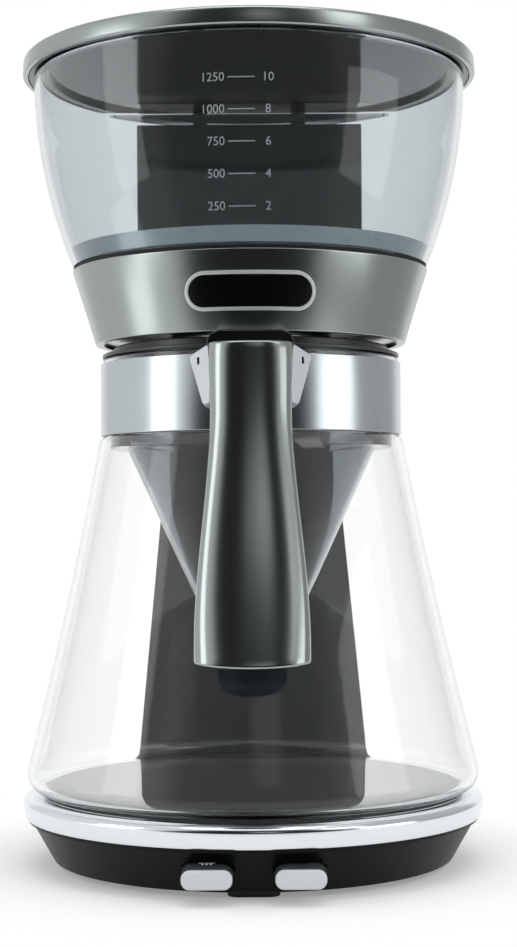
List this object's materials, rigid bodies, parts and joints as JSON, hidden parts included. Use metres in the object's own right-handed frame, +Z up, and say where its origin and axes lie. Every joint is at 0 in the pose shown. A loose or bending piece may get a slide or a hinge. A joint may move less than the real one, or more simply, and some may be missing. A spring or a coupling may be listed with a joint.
{
  "type": "pour-over coffee maker",
  "caption": "Automatic pour-over coffee maker: clear flared tank over a shower head, glass carafe with steel neck band and filter cone on a warming plate, push buttons in the base.",
  "frame": {"origin": "on the table under the jug's axis, which is the bottom centre of the bounding box", "axes": "+Z up; the jug's handle and the buttons face -Y and the tower is at +Y"},
  "size_m": [0.2004, 0.2493, 0.3504],
  "materials": {
    "base_black": "fine matt grain",
    "rubber_black": "matt",
    "fixing_steel": "plain",
    "ring_chrome": "polished",
    "plate_coat": "non-stick coat",
    "seal_grey": "matt silicone",
    "seal_clear": "clear silicone",
    "boiler_cast": "as cast",
    "inner_white": "moulded",
    "inner_black": "moulded",
    "board_green": "circuit board",
    "button_dark": "satin",
    "button_light": "satin",
    "tower_grey": "satin",
    "hose_milky": "milky silicone",
    "taupe_metal": "satin lacquer",
    "taupe_handle": "satin metallic lacquer",
    "badge_gloss": "gloss",
    "head_black": "matt",
    "tank_clear": "clear",
    "tank_grey": "satin",
    "strainer_white": "moulded",
    "lid_black": "satin",
    "jug_glass": "clear",
    "band_steel": "brushed round the neck",
    "bracket_bright": "satin plated",
    "filter_smoke": "smoked, see-through"
  },
  "bodies": {
    "machine": {"base_housing": "base_black", "base_cover": "base_black", "rubber_feet": "rubber_black", "cord_gland": "rubber_black", "tank_seal": "rubber_black", "cover_screws": "fixing_steel", "clamp_screw": "fixing_steel", "tower_screws": "fixing_steel", "hinge_pin": "fixing_steel", "hose_clips": "fixing_steel", "brew_spring": "fixing_steel", "power_spring": "fixing_steel", "boiler_clamp": "fixing_steel", "trim_ring": "ring_chrome", "spray_plate": "ring_chrome", "warming_plate": "plate_coat", "plate_seal": "seal_grey", "boiler": "boiler_cast", "thermostat": "inner_white", "thermal_fuse": "inner_white", "terminal_block": "inner_white", "valve_body": "inner_white", "switch_carrier": "inner_black", "switches": "inner_black", "switch_board": "board_green", "tower_front": "tower_grey", "tower_rear_cover": "tower_grey", "cold_hose_upper": "hose_milky", "cold_hose_lower": "hose_milky", "hot_hose": "hose_milky", "collar": "taupe_metal", "badge_plate": "badge_gloss", "head_frame": "head_black", "shower_head": "head_black", "tank_wall": "tank_clear", "tank_floor": "tank_grey", "tank_strainer": "strainer_white", "badge_border": "bracket_bright"},
    "lid": {"lid_cover": "lid_black", "lid_rim": "taupe_metal"},
    "brew_button": {"brew_button": "button_dark", "brew_button_face": "button_light"},
    "power_button": {"power_button": "button_dark", "power_button_face": "button_light"},
    "carafe": {"jug_glass": "jug_glass", "neck_band": "band_steel", "handle_bracket": "bracket_bright", "handle_shell": "taupe_handle", "handle_core": "head_black", "handle_screws": "fixing_steel", "filter_holder": "filter_smoke", "filter_seal": "seal_clear"},
    "check_ball": {"valve_ball": "fixing_steel"}
  },
  "joints": [
    {"name": "lid_hinge", "type": "hinge", "parent": "machine", "child": "lid", "pos_m": [0, 0.1047, 0.345], "axis": [-1, 0, 0], "range_deg": [0, 95]},
    {"name": "brew_button_press", "type": "slide", "parent": "machine", "child": "brew_button", "axis": [0, 1, 0], "range_m": [0, 0.0025], "stiffness_N_per_m": 400, "deforming": ["brew_spring"]},
    {"name": "power_button_press", "type": "slide", "parent": "machine", "child": "power_button", "axis": [0, 1, 0], "range_m": [0, 0.0025], "stiffness_N_per_m": 400, "deforming": ["power_spring"]},
    {"name": "carafe_slide", "type": "slide", "parent": "machine", "child": "carafe", "axis": [0, -1, 0], "range_m": [0, 0.24]},
    {"name": "check_ball_lift", "type": "slide", "parent": "machine", "child": "check_ball", "axis": [0, 0, 1], "range_m": [0, 0.0015]}
  ]
}
